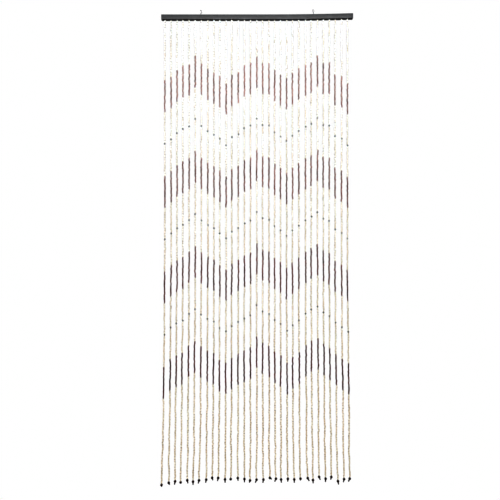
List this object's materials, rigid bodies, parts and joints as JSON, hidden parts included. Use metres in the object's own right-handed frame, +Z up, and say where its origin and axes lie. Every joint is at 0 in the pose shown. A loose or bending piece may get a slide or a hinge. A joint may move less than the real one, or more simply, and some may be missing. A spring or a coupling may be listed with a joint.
{
  "type": "bead door curtain with header bar",
  "caption": "Door curtain of hanging wooden bead strings under a painted header bar with screw hooks, with zigzag bands of dark and blue beads.",
  "frame": {"origin": "the hang line: midway between the two screw hooks, level with the inner top of the left ring", "axes": "+X along the bar to the viewer's right, +Y away from the viewer, +Z up; the strings hang down -Z"},
  "size_m": [0.9061, 0.0254, 2.2488],
  "materials": {
    "bar_paint": "dark grey paint, satin",
    "hook_wire": "drawn wire",
    "plain_bead": "bare turned wood",
    "dark_bead": "dark brown stain, satin",
    "blue_bead": "blue stain, satin",
    "end_bead": "near black stain, satin",
    "cord": "twisted thread"
  },
  "bodies": {
    "root": {"header_bar": "bar_paint", "hook_left": "hook_wire", "hook_right": "hook_wire", "bead_strings": "plain_bead", "end_bead_01": "end_bead", "end_bead_02": "end_bead", "end_bead_03": "end_bead", "end_bead_04": "end_bead", "end_bead_05": "end_bead", "end_bead_06": "end_bead", "end_bead_07": "end_bead", "end_bead_08": "end_bead", "end_bead_09": "end_bead", "end_bead_10": "end_bead", "end_bead_11": "end_bead", "end_bead_12": "end_bead", "end_bead_13": "end_bead", "end_bead_14": "end_bead", "end_bead_15": "end_bead", "end_bead_16": "end_bead", "end_bead_17": "end_bead", "end_bead_18": "end_bead", "end_bead_19": "end_bead", "end_bead_20": "end_bead", "end_bead_21": "end_bead", "end_bead_22": "end_bead", "end_bead_23": "end_bead", "end_bead_24": "end_bead", "end_bead_25": "end_bead", "end_bead_26": "end_bead", "end_bead_27": "end_bead", "end_bead_28": "end_bead", "end_bead_29": "end_bead", "end_bead_30": "end_bead", "end_bead_31": "end_bead"}
  },
  "joints": []
}
